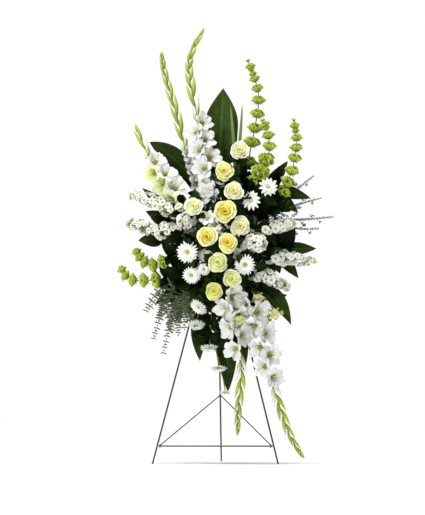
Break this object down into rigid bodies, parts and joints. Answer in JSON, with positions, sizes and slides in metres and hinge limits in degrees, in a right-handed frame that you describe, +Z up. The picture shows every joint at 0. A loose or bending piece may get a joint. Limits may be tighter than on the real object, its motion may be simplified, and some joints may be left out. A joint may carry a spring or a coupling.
{
  "type": "standing funeral spray",
  "caption": "Standing spray of white, cream and yellow flowers with green foliage, set in caged floral foam that is tied to a folding wire easel.",
  "frame": {"origin": "middle of the whole part's outline on the floor", "axes": "+Z up from the floor, -Y towards the viewer of the flowers, +X to the viewer's right"},
  "size_m": [0.7659, 0.5333, 1.561],
  "materials": {
    "rose_cream": "soft matt cream petals, greener at the heart",
    "rose_yellow": "soft matt pale yellow petals, golden at the heart",
    "white_petals": "soft matt white petals with green-yellow throats and green buds",
    "bells": "thin matt lime green cups",
    "broad_leaf": "glossy dark green with long parallel veins",
    "salal": "semi-gloss dark green with a paler midrib",
    "fine_foliage": "matt grey-green",
    "foam": "matt green open-celled foam, soaked with water",
    "cage": "satin moulded green plastic",
    "tie": "satin dark plastic",
    "wire": "satin dark green-black paint"
  },
  "bodies": {
    "spray_and_frame": {"rose_top": "rose_cream", "rose_upper_cream": "rose_cream", "rose_right_cream": "rose_cream", "rose_left_cream": "rose_cream", "rose_lower_cream": "rose_cream", "rose_low_right": "rose_cream", "spray_roses": "rose_cream", "rose_upper_yellow": "rose_yellow", "rose_heart": "rose_yellow", "rose_left_gold": "rose_yellow", "rose_mid_gold": "rose_yellow", "rose_low_left": "rose_yellow", "daisies_upper_right": "white_petals", "daisies_left": "white_petals", "daisy_right": "white_petals", "daisies_low_left": "white_petals", "daisies_hanging": "white_petals", "gladiolus_top": "white_petals", "gladiolus_top_left": "white_petals", "gladiolus_left": "white_petals", "gladiolus_low": "white_petals", "gladiolus_low_right": "white_petals", "stock_left_upper": "white_petals", "stock_left_lower": "white_petals", "stock_left_inner": "white_petals", "stock_right_upper": "white_petals", "stock_right_inner": "white_petals", "stock_right": "white_petals", "stock_right_low": "white_petals", "bells_top": "bells", "bells_upper_right": "bells", "bells_right": "bells", "bells_left_low": "bells", "bells_left": "bells", "leaf_top": "broad_leaf", "leaf_top_left": "broad_leaf", "leaf_low_right": "broad_leaf", "leaf_low_left": "broad_leaf", "leaf_low_middle": "broad_leaf", "leaf_low_inner": "broad_leaf", "sword_leaves": "broad_leaf", "salal_top": "salal", "salal_left": "salal", "salal_right": "salal", "salal_upper_right": "salal", "salal_low_left": "salal", "salal_low_right": "salal", "eucalyptus_long": "fine_foliage", "eucalyptus_left": "fine_foliage", "twigs_right": "fine_foliage", "foam_block": "foam", "cage": "cage", "tie_lower": "tie", "tie_upper": "tie", "easel_leg_left": "wire", "easel_leg_right": "wire", "easel_bar_low": "wire", "easel_bar_top": "wire"},
    "back_leg": {"easel_leg_back": "wire"},
    "brace": {"easel_brace": "wire"}
  },
  "joints": [
    {"name": "back_leg_fold", "type": "hinge", "parent": "spray_and_frame", "child": "back_leg", "pos_m": [-0.0355, 0.0126, 0.845], "axis": [1, 0, 0], "range_deg": [-20, 0]},
    {"name": "brace_fold", "type": "hinge", "parent": "spray_and_frame", "child": "brace", "pos_m": [-0.0355, -0.12529, 0.063], "axis": [1, 0, 0], "range_deg": [0, 41.5]}
  ],
  "couplings": [
    {"joint": "brace_fold", "follows": "back_leg_fold", "ratio": -2.05}
  ]
}
